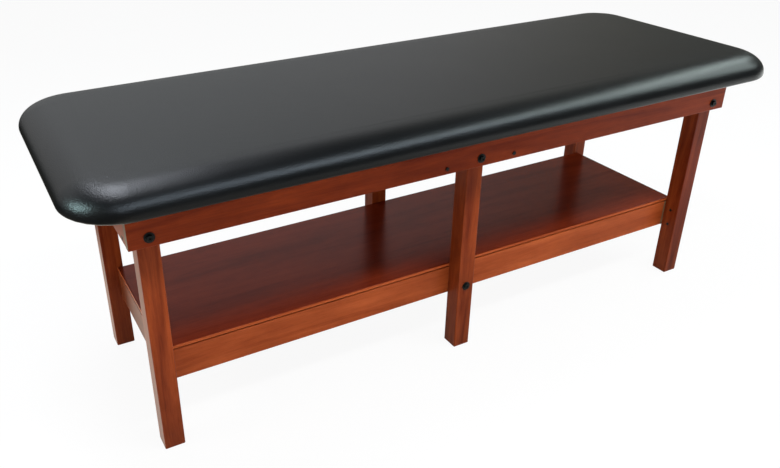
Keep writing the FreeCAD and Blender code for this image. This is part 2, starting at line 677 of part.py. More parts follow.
def hexagon_nut():
    """A plain nut standing on its seat, fitted to the bolt's shank."""
    corner = value("Sizes.nut_width / 2 / cos(30)")
    points = [FreeCAD.Vector(corner * math.cos(math.radians(60 * step)),
                             corner * math.sin(math.radians(60 * step)), 0)
              for step in range(7)]
    blank = Part.Face(Part.makePolygon(points)).extrude(Z_AXIS * value("Sizes.nut_height"))
    bore = value("Sizes.bolt_diameter / 2 + Sizes.screw_clearance")
    return blank.cut(Part.makeCylinder(bore, value("Sizes.nut_height")))


def facing_y(side):
    return (0, side, 0)


def facing_x(side):
    return (side, 0, 0)


def bolt_seats():
    """Where each bolt's head and nut seat: (group, head place, nut place, facing)."""
    seats = []
    for side in (-1, 1):
        for x in (f"-{LEG_AXIS_X}", "0", LEG_AXIS_X):
            head = (x, f"{side} * {FRAME_Y}", APRON_BOLT_Z)
            nut = (x, f"{side} * {LEG_BACK_Y}", APRON_BOLT_Z)
            seats.append(("apron", head, nut, facing_y(side)))
        head = ("0", f"{side} * {LEG_FACE_Y}", RAIL_MIDDLE)
        nut = ("0", f"{side} * {RAIL_BACK_Y}", RAIL_MIDDLE)
        seats.append(("rail", head, nut, facing_y(side)))
        for way in (-1, 1):
            head = (f"{side} * {FRAME_X}", f"{way} * {LEG_AXIS_Y}", END_BOLT_Z)
            nut = (f"{side} * {LEG_SIDE_X}", f"{way} * {LEG_AXIS_Y}", END_BOLT_Z)
            seats.append(("end", head, nut, facing_x(side)))
    return seats


def raised(place, facing, distance):
    """A place moved along a facing by a distance."""
    return tuple(f"{item} + {axis} * ({distance})" for item, axis in zip(place, facing))


def build_bolts():
    """Socket bolts through apron and leg or leg and rail, with washers and nuts."""
    seats = bolt_seats()
    washer = "Sizes.washer_thickness"
    tail = f"{washer} + Sizes.nut_height + Sizes.bolt_tail"
    kinds = [("apron", "apron_bolts", cap_bolt, washer, "Sizes.apron_thickness + Sizes.leg_depth"),
             ("rail", "rail_bolts", cap_bolt, washer, "Sizes.leg_depth + Sizes.rail_thickness"),
             ("end", "end_apron_bolts", flat_bolt, "0", "Sizes.apron_thickness + Sizes.leg_width")]
    for group, label, form, lift, grip in kinds:
        master = form(label + "_master", f"{lift} + {grip} + {tail}")
        places = [(raised(head, facing, lift), facing)
                  for name, head, nut, facing in seats if name == group]
        copies(label, master.Shape, places)
    wide = ring("Sizes.wide_washer_diameter / 2", BOLT_HOLE, washer)
    small = ring("Sizes.small_washer_diameter / 2", BOLT_HOLE, washer)
    copies("head_washers", wide, [(head, facing) for name, head, nut, facing in seats
                                  if name != "end"])
    backs = [(nut, tuple(-axis for axis in facing)) for name, head, nut, facing in seats]
    copies("nut_washers", small, backs)
    nuts = [(raised(place, facing, washer), facing) for place, facing in backs]
    copies("hex_nuts", hexagon_nut(), nuts)


def screw_master(label, length):
    return fastener(label, "Sizes.screw_head_diameter / 2", "Sizes.screw_head_height",
                    "Sizes.screw_diameter / 2", length).Shape


def build_screws():
    """Wood screws: aprons to cross bearers, cleats to deck, glue blocks to shelf."""
    bearer = screw_master("bearer_screw", "Sizes.apron_thickness + Sizes.bearer_screw_bite")
    places = [((f"{way} * Sizes.cross_bearer_offset", f"{side} * {FRAME_Y}", z),
               facing_y(side)) for side in (-1, 1) for way in (-1, 1) for z in BEARER_SCREW_Z]
    copies("bearer_screws", bearer, places)
    deck = screw_master("deck_screw", "Sizes.deck_cleat_side + Sizes.screw_bite")
    under = "Sizes.seat_height - Sizes.deck_cleat_side"
    places = [((f"{side_x} * {x}", f"{side_y} * {DECK_CLEAT_Y}", under), (0, 0, -1))
              for x in DECK_SCREW_X for side_x in (-1, 1) for side_y in (-1, 1)]
    copies("deck_screws", deck, places)
    shelf = screw_master("shelf_screw", "Sizes.glue_block_side + Sizes.screw_bite")
    under = f"{RAIL_TOP} - Sizes.glue_block_side"
    places = [((f"{side_x} * {x}", f"{side_y} * {BLOCK_Y}", under), (0, 0, -1))
              for x in BLOCK_X for side_x in (-1, 1) for side_y in (-1, 1)]
    copies("shelf_screws", shelf, places)


def build_tenon_pins():
    """Dark pins from each corner leg's inner side through the stretcher's tenon."""
    master = fastener("tenon_pin", "Sizes.pin_head_diameter / 2", "Sizes.pin_head_height",
                      "Sizes.pin_diameter / 2", "Sizes.pin_length")
    places = [((f"{side_x} * {LEG_SIDE_X}", f"{side_y} * {LEG_AXIS_Y}", z), facing_x(-side_x))
              for side_x in (-1, 1) for side_y in (-1, 1) for z in PIN_Z]
    copies("tenon_pins", master.Shape, places)


def build_dowels():
    """Dowels from the rails' ends into the stretchers, and from bearers into rails."""
    dowel = Part.makeCylinder(value("Sizes.dowel_diameter / 2"), value("Sizes.dowel_length"))
    places = []
    for side_x in (-1, 1):
        for side_y in (-1, 1):
            for z in DOWEL_Z:
                start = f"{side_x} * ({RAIL_END_X} - {DOWEL_REST})"
                places.append(((start, f"{side_y} * {RAIL_DOWEL_Y}", z), facing_x(side_x)))
                start = f"{side_y} * ({RAIL_BACK_Y} - {DOWEL_REST})"
                places.append(((f"{side_x} * {SHELF_BEARER_X}", start, z), facing_y(side_y)))
    copies("frame_dowels", dowel, places)


def build_glue_blocks():
    """Wooden blocks glued in the corner of rail and shelf, each with a screw hole."""
    length, side = value("Sizes.glue_block_length"), value("Sizes.glue_block_side")
    corner = FreeCAD.Vector(-length / 2, -side / 2, 0)
    block = Part.makeBox(length, side, side, corner)
    block = block.cut(Part.makeCylinder(value(SCREW_HOLE), side))
    places = [((f"{side_x} * {x}", f"{side_y} * {BLOCK_Y}", f"{RAIL_TOP} - Sizes.glue_block_side"),
               (0, 0, 1)) for x in BLOCK_X for side_x in (-1, 1) for side_y in (-1, 1)]
    copies("shelf_glue_blocks", block, places)


def build_all():
    build_vinyl_cover()
    build_foam_pad()
    build_deck_board()
    for label, side in (("front_apron", -1), ("back_apron", 1)):
        build_apron(label, side)
    for label, side in (("left_end_apron", -1), ("right_end_apron", 1)):
        build_end_apron(label, side)
    for label, side in (("left_cross_bearer", -1), ("right_cross_bearer", 1)):
        build_cross_bearer(label, side)
    for depth, side_y in (("front", -1), ("back", 1)):
        for width, side_x in (("left", -1), ("right", 1)):
            build_corner_leg(f"{depth}_{width}_leg", side_x, side_y)
            build_deck_cleat(f"{depth}_{width}_deck_cleat", side_x, side_y)
        build_middle_leg(f"{depth}_middle_leg", side_y)
        build_lower_rail(f"{depth}_lower_rail", side_y)
    for label, side in (("left", -1), ("right", 1)):
        build_end_stretcher(f"{label}_end_stretcher", side)
        build_shelf_bearer(f"{label}_shelf_bearer", side)
    build_shelf_panel()
    build_bolts()
    build_screws()
    build_tenon_pins()
    build_dowels()
    build_glue_blocks()


def check_and_write():
    """Refuse a failed object or a bad shape, then write one file per sub-part."""
    DOC.recompute()
    for item in DOC.Objects:
        if "Invalid" in item.State or "Error" in item.State:
            raise RuntimeError(f"{item.Name} failed: {item.State}")
    for piece in KEPT:
        if piece.Shape.isNull() or not piece.Shape.isValid():
            raise RuntimeError(f"{piece.Label} has no valid shape")
    os.makedirs("parts", exist_ok=True)
    for piece in KEPT:
        piece.Shape.exportStep(f"parts/{piece.Label}.step")
        print(piece.Label, len(piece.Shape.Solids), "solids", round(piece.Shape.Volume), "mm3")


fill_sheet()
build_all()
check_and_write()
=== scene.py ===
import bpy
import bmesh
import math
from mathutils import Matrix, Vector


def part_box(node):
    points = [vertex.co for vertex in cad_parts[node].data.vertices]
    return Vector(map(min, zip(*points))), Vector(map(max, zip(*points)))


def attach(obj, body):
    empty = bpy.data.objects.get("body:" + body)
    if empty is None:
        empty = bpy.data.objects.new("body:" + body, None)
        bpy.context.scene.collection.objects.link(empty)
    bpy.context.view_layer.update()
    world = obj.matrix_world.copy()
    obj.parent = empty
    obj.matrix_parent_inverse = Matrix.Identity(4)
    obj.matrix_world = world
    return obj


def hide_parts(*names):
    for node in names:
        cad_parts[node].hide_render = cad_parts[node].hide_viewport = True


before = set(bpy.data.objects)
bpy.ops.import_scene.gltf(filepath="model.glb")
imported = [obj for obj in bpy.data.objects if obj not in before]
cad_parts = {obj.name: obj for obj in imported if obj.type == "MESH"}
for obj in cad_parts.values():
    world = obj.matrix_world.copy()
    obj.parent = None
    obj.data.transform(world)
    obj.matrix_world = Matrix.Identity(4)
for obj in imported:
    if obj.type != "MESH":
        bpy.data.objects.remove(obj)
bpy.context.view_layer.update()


# Deep aprons, sawn from cherry boards and stained red-brown under a semi-gloss lacquer.
# The long ones stand outside the legs and show sawn end grain at both ends. The short
# ones are let in between them, and every joint is bolted.

APRON_DARK = (0.150, 0.015, 0.002)
APRON_LIGHT = (0.37, 0.054, 0.008)
END_DARK = (0.100, 0.055, 0.028)
END_LIGHT = (0.220, 0.138, 0.078)
FIGURE_STRETCH = (26.0, 1.6)
PORE_STRETCH = (620.0, 22.0)
PORE_TONE = (0.66, 0.60, 0.56)
PORE_SHARE = 0.55
PORE_DEPTH = 0.0004
PORE_STRENGTH = 0.12
CLOUD_STRETCH = (5.5, 2.6)
CLOUD_TONE = (0.72, 0.66, 0.62)
CLOUD_SHARE = 0.8
END_SPECKS = 900.0
SAWN_FROM, SAWN_TO = 0.80, 0.95
LACQUER_ROUGHNESS = 0.32
LACQUER_GLOSS = 0.08
UNTINTED = (1.0, 1.0, 1.0)


def feed(tree, node, **values):
    """Give a node's named inputs constants, or link them to other nodes' sockets."""
    for name, value in values.items():
        socket = node.inputs[name.replace("_", " ")]
        if isinstance(value, bpy.types.NodeSocket):
            tree.links.new(value, socket)
        else:
            socket.default_value = value


def node_at(tree, kind, place, **values):
    """Add a shader node and feed its named inputs."""
    node = tree.nodes.new(kind)
    node.location = place
    feed(tree, node, **values)
    return node


def object_place(tree, place):
    """The place on the piece, in metres, that textures are drawn by."""
    return node_at(tree, "ShaderNodeTexCoord", place).outputs["Object"]


def range_at(tree, place, value, **limits):
    """A value brought from one range to another."""
    return node_at(tree, "ShaderNodeMapRange", place, Value=value, **limits).outputs["Result"]


def ramp_at(tree, place, share, stops):
    """A colour that follows a share through the given (position, colour) stops."""
    ramp = node_at(tree, "ShaderNodeValToRGB", place, Fac=share)
    bands = ramp.color_ramp.elements
    while len(bands) < len(stops):
        bands.new(0.5)
    for band, (position, colour) in zip(bands, stops):
        band.position = position
        band.color = (*colour, 1)
    return ramp.outputs["Color"]


def math_at(tree, place, operation, *terms):
    """The result of one operation on sockets or numbers."""
    node = tree.nodes.new("ShaderNodeMath")
    node.operation = operation
    node.location = place
    for socket, term in zip(node.inputs, terms):
        if isinstance(term, bpy.types.NodeSocket):
            tree.links.new(term, socket)
        else:
            socket.default_value = term
    return node.outputs[0]


def mix_at(tree, place, first, second, share, kind="MIX"):
    """The mix of two colours by a share, each of them a socket or a constant."""
    mix = tree.nodes.new("ShaderNodeMix")
    mix.data_type = "RGBA"
    mix.blend_type = kind
    mix.location = place
    feed(tree, mix, Factor=share, A=first, B=second)
    return mix.outputs["Result"]


def noise_at(tree, place, spot, **settings):
    """Cloudy noise at a spot."""
    return node_at(tree, "ShaderNodeTexNoise", place, Vector=spot, **settings).outputs["Fac"]


def grain_at(tree, level, along, stretch, **settings):
    """Noise drawn out along one axis, where stretch is its scale across and along the grain."""
    scale = [stretch[0]] * 3
    scale[along] = stretch[1]
    drawn = node_at(tree, "ShaderNodeMapping", (-1500, level), Scale=scale,
                    Vector=object_place(tree, (-1700, level)))
    return noise_at(tree, (-1300, level), drawn.outputs["Vector"], **settings)


def squareness_at(tree, level, axis):
    """How squarely a surface faces along an axis, either way: 0 to 1."""
    faces = node_at(tree, "ShaderNodeNewGeometry", (-1100, level))
    parts = node_at(tree, "ShaderNodeSeparateXYZ", (-920, level), Vector=faces.outputs["Normal"])
    return math_at(tree, (-760, level), "ABSOLUTE", parts.outputs[axis])


def new_surface(name):
    """A new material with its node tree and its surface shader."""
    material = bpy.data.materials.new(name)
    material.use_nodes = True
    return material, material.node_tree, material.node_tree.nodes["Principled BSDF"]


def stained_board(name, along, dark, light, roughness=LACQUER_ROUGHNESS, gloss=LACQUER_GLOSS):
    """Stained cherry whose grain runs along one axis, with raw grain on the sawn ends."""
    board, tree, lacquer = new_surface(name)
    middle = [(low + high) / 2 for low, high in zip(dark, light)]
    figure = grain_at(tree, 300, along, FIGURE_STRETCH, Scale=1.0, Detail=6.0, Roughness=0.62,
                      Distortion=0.9)
    tones = ramp_at(tree, (-1100, 300), figure, [(0.30, dark), (0.52, middle), (0.74, light)])
    pore = grain_at(tree, -100, along, PORE_STRETCH, Scale=1.0, Detail=3.0, Roughness=0.7)
    pitted = ramp_at(tree, (-1100, -100), pore, [(0.36, PORE_TONE), (0.50, UNTINTED)])
    grained = mix_at(tree, (-800, 200), tones, pitted, PORE_SHARE, "MULTIPLY")
    cloud = grain_at(tree, -400, along, CLOUD_STRETCH, Scale=2.0, Detail=6.0, Roughness=0.68)
    shade = ramp_at(tree, (-1100, -400), cloud, [(0.34, CLOUD_TONE), (0.66, UNTINTED)])
    stained = mix_at(tree, (-600, 100), grained, shade, CLOUD_SHARE, "MULTIPLY")

    sawn = range_at(tree, (-600, -700), squareness_at(tree, -700, along), From_Min=SAWN_FROM,
                    From_Max=SAWN_TO)
    speck = noise_at(tree, (-1300, -950), object_place(tree, (-1500, -950)), Scale=END_SPECKS,
                     Detail=3.0, Roughness=0.7)
    raw_end = ramp_at(tree, (-1100, -950), speck, [(0.35, END_DARK), (0.65, END_LIGHT)])
    relief = node_at(tree, "ShaderNodeBump", (-380, -300), Strength=PORE_STRENGTH,
                     Distance=PORE_DEPTH, Height=pore)
    feed(tree, lacquer, Base_Color=mix_at(tree, (-380, 0), stained, raw_end, sawn),
         Roughness=roughness, Specular_IOR_Level=gloss, Normal=relief.outputs["Normal"])
    return board


def dress(material, *names):
    """Give carried-over pieces a material in place of their plain one."""
    for name in names:
        for cad_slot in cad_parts[name].material_slots:
            cad_slot.material = material


dress(stained_board("apron_cherry", 0, APRON_DARK, APRON_LIGHT), "front_apron", "back_apron")
dress(stained_board("end_apron_cherry", 1, APRON_DARK, APRON_LIGHT),
      "left_end_apron", "right_end_apron")


# Six square legs of the same cherry, bolted inside the apron. Each is planed from solid
# stock with slightly eased corners and a clipped foot, and stained after it is cut.

LEG_DARK = (0.120, 0.013, 0.003)
LEG_LIGHT = (0.415, 0.080, 0.018)
FOOT_SHADE = (0.76, 0.76, 0.80)
FOOT_SHADE_TOP = 0.30


def darker_foot(board, shade, top):
    """Darken the stain from the given height down to the foot."""
    tree = board.node_tree
    lacquer = tree.nodes["Principled BSDF"]
    stain = lacquer.inputs["Base Color"].links[0].from_socket
    parts = node_at(tree, "ShaderNodeSeparateXYZ", (-700, 900),
                    Vector=object_place(tree, (-900, 900)))
    height = range_at(tree, (-500, 900), parts.outputs["Z"], From_Max=top)
    depth = ramp_at(tree, (-300, 900), height, [(0.0, shade), (1.0, UNTINTED)])
    feed(tree, lacquer, Base_Color=mix_at(tree, (-150, 300), stain, depth, 1.0, "MULTIPLY"))


legs = [f"{depth}_{width}_leg"
        for depth in ("front", "back") for width in ("left", "middle", "right")]
leg_cherry = stained_board("leg_cherry", 2, LEG_DARK, LEG_LIGHT)
darker_foot(leg_cherry, FOOT_SHADE, FOOT_SHADE_TOP)
dress(leg_cherry, *legs)


# Low frame of long rails and tenoned end stretchers, with two bearers across it. The
# stain took lighter and more orange on the rails than on the boards across.

RAIL_DARK = (0.27, 0.046, 0.010)
RAIL_LIGHT = (0.49, 0.109, 0.029)
STRETCHER_DARK = (0.14, 0.026, 0.008)
STRETCHER_LIGHT = (0.26, 0.065, 0.022)

dress(stained_board("rail_cherry", 0, RAIL_DARK, RAIL_LIGHT), "front_lower_rail", "back_lower_rail")
dress(stained_board("stretcher_cherry", 1, STRETCHER_DARK, STRETCHER_LIGHT),
      "left_end_stretcher", "right_end_stretcher", "left_shelf_bearer", "right_shelf_bearer")


# Shelf of cherry-faced board, glued and screwed to the low frame from below. It has
# the glossiest finish of the bench, and its edges are banded in the rails' lighter wood.

SHELF_DARK = (0.140, 0.016, 0.004)
SHELF_LIGHT = (0.210, 0.028, 0.008)
SHELF_SHEEN = 0.22
SHELF_ROUGHNESS = 0.22
SHELF_GLOSS = 0.09
BAND_STRETCH = (1.6, 60.0)
FLAT_FROM, FLAT_TO = 0.30, 0.60


def edge_band(board, dark, light, sheen):
    """Band a board's upright faces in other wood, and give its flat faces a stained sheen."""
    tree = board.node_tree
    lacquer = tree.nodes["Principled BSDF"]
    stain = lacquer.inputs["Base Color"].links[0].from_socket
    figure = grain_at(tree, 1000, 2, BAND_STRETCH, Scale=2.0, Detail=4.0)
    band = ramp_at(tree, (-1100, 1000), figure, [(0.3, dark), (0.7, light)])
    # Sloped faces count as flat here, so the chamfer under the shelf's edge takes the dark shelf
    # stain: painted shade in the groove over the rail.
    flat = range_at(tree, (-700, 700), squareness_at(tree, 700, 2), From_Min=FLAT_FROM,
                    From_Max=FLAT_TO)
    feed(tree, lacquer, Base_Color=mix_at(tree, (-200, 300), band, stain, flat),
         Metallic=math_at(tree, (-200, 700), "MULTIPLY", flat, sheen))


shelf_cherry = stained_board("shelf_cherry", 0, SHELF_DARK, SHELF_LIGHT, SHELF_ROUGHNESS,
                             SHELF_GLOSS)
edge_band(shelf_cherry, RAIL_DARK, RAIL_LIGHT, SHELF_SHEEN)
dress(shelf_cherry, "shelf_panel")


# Parts that no one sees from above: the birch ply deck, and the cross bearers, cleats
# and glue blocks of plain unstained hardwood, glued and screwed inside the frame.

BARE_DARK = (0.36, 0.22, 0.11)
BARE_LIGHT = (0.62, 0.44, 0.26)
BARE_ROUGHNESS = 0.6
BARE_GLOSS = 0.2

bare_across = stained_board("bare_cross_wood", 1, BARE_DARK, BARE_LIGHT, BARE_ROUGHNESS,
                            BARE_GLOSS)
bare_along = stained_board("bare_long_wood", 0, BARE_DARK, BARE_LIGHT, BARE_ROUGHNESS,
                           BARE_GLOSS)
dress(bare_across, "left_cross_bearer", "right_cross_bearer")
dress(bare_along, "deck_board", "shelf_glue_blocks", "frame_dowels",
      "front_left_deck_cleat", "front_right_deck_cleat",
      "back_left_deck_cleat", "back_right_deck_cleat")


# Bolts, washers and small screws: steel with a black oxide finish where they show,
# and bright zinc on the nuts and the inner washers.

BLACK_OXIDE = (0.008, 0.010, 0.009)
ZINC = (0.62, 0.63, 0.62)
STEEL_SMEAR = 420.0
SMEAR_TONE = 0.7
SMEAR_DULLER = 0.10
SMEAR_BRIGHTER = 0.08


def steel(name, colour, metallic, roughness, gloss=0.5):
    """Turned steel with a faint uneven polish."""
    finish, tree, surface = new_surface(name)
    smear = noise_at(tree, (-700, 0), object_place(tree, (-900, 0)), Scale=STEEL_SMEAR, Detail=4.0,
                     Roughness=0.6)
    tone = ramp_at(tree, (-500, 100), smear, [(0.35, [SMEAR_TONE * value for value in colour]),
                                             (0.65, colour)])
    polish = range_at(tree, (-500, -200), smear, To_Min=roughness - SMEAR_BRIGHTER,
                      To_Max=roughness + SMEAR_DULLER)
    feed(tree, surface, Base_Color=tone, Metallic=metallic, Roughness=polish,
         Specular_IOR_Level=gloss)
    return finish


dress(steel("black_oxide", BLACK_OXIDE, 0.2, 0.40, gloss=0.2), "apron_bolts", "rail_bolts",
      "end_apron_bolts", "head_washers", "bearer_screws", "tenon_pins")
dress(steel("zinc_plate", ZINC, 1.0, 0.34), "nut_washers", "hex_nuts",
      "deck_screws", "shelf_screws")


# Padded top: black vinyl drawn tight over a foam slab with a wide rolled edge. It is
# folded under the ply deck and stapled there, so no seam shows from above.

PAD_TOP_STEP = 0.016
PAD_ROLL_WIDTH = 0.070
PAD_ROLL_POWER = 2.1
PAD_FLAT_INSET = 0.078
PAD_TUCK = 0.007
PAD_CROWN = 0.0035
CROWN_POWER_ALONG = 6
CROWN_POWER_ACROSS = 2.4
PAD_CORNER = 0.118
PAD_ARC_STEPS = 16
PAD_ROLL_STEPS = 14
PAD_FULLNESS = 0.0025
PLEATS_PER_CORNER = 8
PLEAT_DEPTH = 0.0013
PLEAT_AT_TUCK = 0.7
VINYL_THICKNESS = 0.0012
HEM_WIDTH = 0.040
DECK_INSET = 0.022

pad_low, pad_high = [Vector(corner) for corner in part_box("vinyl_cover")]
pad_half_x = (pad_high.x - pad_low.x) / 2
pad_half_y = (pad_high.y - pad_low.y) / 2
pad_bottom = pad_low.z
pad_height = pad_high.z - pad_low.z


def rim_point(side, share, inset):
    """A point of the pad's outline drawn in by inset, along one of its four sides.

    Each side runs from the middle of one round corner to the middle of the next, so
    its two ends are half corner arcs and the rest is straight.
    """
    radius = PAD_CORNER - inset
    run_x, run_y = (pad_half_x, pad_half_y) if side % 2 == 0 else (pad_half_y, pad_half_x)
    reach = run_y - inset
    straight = 2 * (run_x - PAD_CORNER)
    steps = straight_steps[side % 2]
    place = share * (steps + 2 * PAD_ARC_STEPS)
    if place < PAD_ARC_STEPS:
        angle = (1 - place / PAD_ARC_STEPS) * math.pi / 4
        along = -straight / 2 - radius * math.sin(angle)
        out = reach - radius * (1 - math.cos(angle))
    elif place > PAD_ARC_STEPS + steps:
        angle = (place - PAD_ARC_STEPS - steps) / PAD_ARC_STEPS * math.pi / 4
        along = straight / 2 + radius * math.sin(angle)
        out = reach - radius * (1 - math.cos(angle))
    else:
        along = straight * ((place - PAD_ARC_STEPS) / steps - 0.5)
        out = reach
    turn = Matrix.Rotation(side * math.pi / 2, 2)
    return turn @ Vector((along, -out))


straight_steps = [round(2 * (pad_half_x - PAD_CORNER) / PAD_TOP_STEP),
                  round(2 * (pad_half_y - PAD_CORNER) / PAD_TOP_STEP)]
side_counts = [straight_steps[side % 2] + 2 * PAD_ARC_STEPS for side in range(4)]


def crown_height(spot):
    """How high the top stands over its rolled rim at a place: a low, even dome."""
    across = min(1, abs(spot.x) / pad_half_x)
    deep = min(1, abs(spot.y) / pad_half_y)
    return PAD_CROWN * (1 - across ** CROWN_POWER_ALONG) * (1 - deep ** CROWN_POWER_ACROSS)


def pad_profile():
    """(inset, height, crown share, pleat share) rows from the hem's edge round to the flat top."""
    shoulder = pad_height - PAD_CROWN + PAD_FULLNESS
    tuck = PAD_TUCK
    hem_edge = DECK_INSET + HEM_WIDTH
    rows = [(hem_edge, VINYL_THICKNESS, 0, 0), (hem_edge, 0, 0, 1)]
    rows += [(hem_edge - (hem_edge - tuck) * step / 4, 0, 0, 1) for step in range(1, 4)]
    for step in range(5):
        angle = step / 4 * math.pi / 2
        rows.append((tuck - (tuck + PAD_FULLNESS) * math.sin(angle),
                     tuck * (1 - math.cos(angle)), 0, PLEAT_AT_TUCK * math.cos(angle) ** 2))
    for step in range(1, PAD_ROLL_STEPS + 1):
        angle = step / PAD_ROLL_STEPS * math.pi / 2
        out = math.cos(angle) ** (2 / PAD_ROLL_POWER)
        up = math.sin(angle) ** (2 / PAD_ROLL_POWER)
        inset = PAD_ROLL_WIDTH - (PAD_ROLL_WIDTH + PAD_FULLNESS) * out
        rows.append((inset, tuck + (shoulder - tuck) * up, up, 0))
    rows.append((PAD_FLAT_INSET, shoulder, 1, 0))
    return rows


def pleat_fold(side, step):
    """How far, of 1, a gathered fold of the hem hangs down: nothing along the straight sides."""
    from_corner = min(step, side_counts[side] - step) / PAD_ARC_STEPS
    if from_corner >= 1:
        return 0
    return (0.5 + 0.5 * math.cos(from_corner * PLEATS_PER_CORNER * math.pi)) ** 2


def ring_of(mesh, inset, height, crown_share, pleat_share):
    """One closed loop of the pad's mesh at an inset and a height."""
    loop = []
    for side in range(4):
        for step in range(side_counts[side]):
            spot = rim_point(side, step / side_counts[side], inset)
            lift = height + crown_share * crown_height(spot)
            lift -= PLEAT_DEPTH * pleat_share * pleat_fold(side, step)
            loop.append(mesh.verts.new((spot.x, spot.y, pad_bottom + lift)))
    return loop


def pad_mesh(name):
    """The cushion's skin: loops round the rim, closed by an even net over the top."""
    skin = bmesh.new()
    rings = [ring_of(skin, *row) for row in pad_profile()]
    for outer, inner in zip(rings, rings[1:]):
        for step in range(len(outer)):
            following = (step + 1) % len(outer)
            skin.faces.new((outer[step], outer[following], inner[following], inner[step]))
    last = rings[-1]
    wide, deep = side_counts[0], side_counts[1]
    front = [last[step] for step in range(wide + 1)]
    right = [last[wide + step] for step in range(deep + 1)]
    back = [last[(2 * wide + deep - step) % len(last)] for step in range(wide + 1)]
    left = [last[(2 * wide + 2 * deep - step) % len(last)] for step in range(deep + 1)]
    shoulder = pad_bottom + pad_height - PAD_CROWN + PAD_FULLNESS
    net = [[None] * (deep + 1) for _ in range(wide + 1)]
    for across in range(wide + 1):
        net[across][0], net[across][deep] = front[across], back[across]
    for up in range(deep + 1):
        net[0][up], net[wide][up] = left[up], right[up]
    for across in range(1, wide):
        share_x = across / wide
        for up in range(1, deep):
            share_y = up / deep
            spot = (front[across].co * (1 - share_y) + back[across].co * share_y
                    + left[up].co * (1 - share_x) + right[up].co * share_x
                    - front[0].co * (1 - share_x) * (1 - share_y)
                    - front[wide].co * share_x * (1 - share_y)
                    - back[0].co * (1 - share_x) * share_y - back[wide].co * share_x * share_y)
            net[across][up] = skin.verts.new((spot.x, spot.y, shoulder + crown_height(spot)))
    for across in range(wide):
        for up in range(deep):
            skin.faces.new((net[across][up], net[across + 1][up],
                            net[across + 1][up + 1], net[across][up + 1]))
    bmesh.ops.recalc_face_normals(skin, faces=skin.faces)
    for face in skin.faces:
        face.smooth = True
    mesh = bpy.data.meshes.new(name)
    skin.to_mesh(mesh)
    skin.free()
    piece = bpy.data.objects.new(name, mesh)
    bpy.context.scene.collection.objects.link(piece)
    return piece


cushion = pad_mesh("padded_top")

PAD_PRESSURE = 4.0
PAD_SWELL = 0.0014
PAD_FRAMES = 20
PAD_EVENING = 12


def swell(piece, pressure, most):
    """Let the foam press the vinyl outwards as cloth, held where it is stapled.

    The foam keeps the vinyl from going inwards, and no point moves by more than the
    most. The movement is evened out, and the cloth is turned into plain mesh.
    """
    held = piece.vertex_groups.new(name="stapled")
    held.add([vertex.index for vertex in piece.data.vertices
              if vertex.co.z < pad_bottom + PAD_TUCK / 2], 1.0, "REPLACE")
    before = [vertex.co.copy() for vertex in piece.data.vertices]
    cloth = piece.modifiers.new("drawn_vinyl", "CLOTH")
    cloth.settings.use_pressure = True
    cloth.settings.uniform_pressure_force = pressure
    cloth.settings.effector_weights.gravity = 0
    cloth.settings.vertex_group_mass = "stapled"
    cloth.point_cache.frame_start = 1
    cloth.point_cache.frame_end = PAD_FRAMES
    scene = bpy.context.scene
    for number in range(1, PAD_FRAMES + 1):
        scene.frame_set(number)
    settled = piece.evaluated_get(bpy.context.evaluated_depsgraph_get()).data
    outward = []
    for vertex, after, start in zip(piece.data.vertices, settled.vertices, before):
        rise = max(0, (after.co - start).dot(vertex.normal))
        outward.append(most * rise / (most + rise))
    piece.modifiers.remove(cloth)
    piece.vertex_groups.remove(held)
    scene.frame_set(1)

    net = bmesh.new()
    net.from_mesh(piece.data)
    net.verts.ensure_lookup_table()
    beside = [[edge.other_vert(vertex).index for edge in vertex.link_edges] for vertex in net.verts]
    net.free()
    for _ in range(PAD_EVENING):
        outward = [(rise + sum(outward[other] for other in near)) / (1 + len(near))
                   for rise, near in zip(outward, beside)]
    normals = [vertex.normal.copy() for vertex in piece.data.vertices]
    for vertex, start, normal, rise in zip(piece.data.vertices, before, normals, outward):
        vertex.co = start + normal * rise


swell(cushion, PAD_PRESSURE, PAD_SWELL)
fuller = cushion.modifiers.new("fuller", "SUBSURF")
fuller.levels = 1
fuller.render_levels = 1

VINYL_BLACK = (0.0030, 0.0033, 0.0037)
VINYL_SHADES = (0.85, 1.25)
VINYL_GLOSS = 0.26
VINYL_ROUGHNESS = (0.26, 0.33)
VINYL_DRIFT = 7.0
GRAIN_CELLS = 460.0
GRAIN_STRENGTH = 0.46
GRAIN_DEPTH = 0.00066
CREASES = 240.0
CREASE_STRENGTH = 0.36
CREASE_DEPTH = 0.0010


def grained_vinyl():
    """Soft black upholstery vinyl with a fine leather grain."""
    vinyl, tree, skin = new_surface("black_vinyl")
    place = object_place(tree, (-1300, 0))
    drift = noise_at(tree, (-1000, 200), place, Scale=VINYL_DRIFT, Detail=4.0, Roughness=0.55)
    darker, paler = [[shade * value for value in VINYL_BLACK] for shade in VINYL_SHADES]
    tone = ramp_at(tree, (-700, 200), drift, [(0.3, darker), (0.7, paler)])
    handled = range_at(tree, (-700, -50), drift, To_Min=VINYL_ROUGHNESS[0],
                       To_Max=VINYL_ROUGHNESS[1])
    creases = noise_at(tree, (-1000, -500), place, Scale=CREASES, Detail=5.0, Roughness=0.7)
    coarse = node_at(tree, "ShaderNodeBump", (-600, -450), Strength=CREASE_STRENGTH,
                     Distance=CREASE_DEPTH, Height=creases)
    cells = node_at(tree, "ShaderNodeTexVoronoi", (-1000, -200), Vector=place, Scale=GRAIN_CELLS,
                    Randomness=1.0)
    cells.feature = "SMOOTH_F1"
    grain = node_at(tree, "ShaderNodeBump", (-400, -250), Strength=GRAIN_STRENGTH,
                    Distance=GRAIN_DEPTH, Height=cells.outputs["Distance"],
                    Normal=coarse.outputs["Normal"])
    feed(tree, skin, Base_Color=tone, Roughness=handled, Specular_IOR_Level=VINYL_GLOSS,
         Normal=grain.outputs["Normal"])
    return vinyl


cushion.data.materials.append(grained_vinyl())
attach(cushion, "root")
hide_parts("vinyl_cover", "foam_pad")


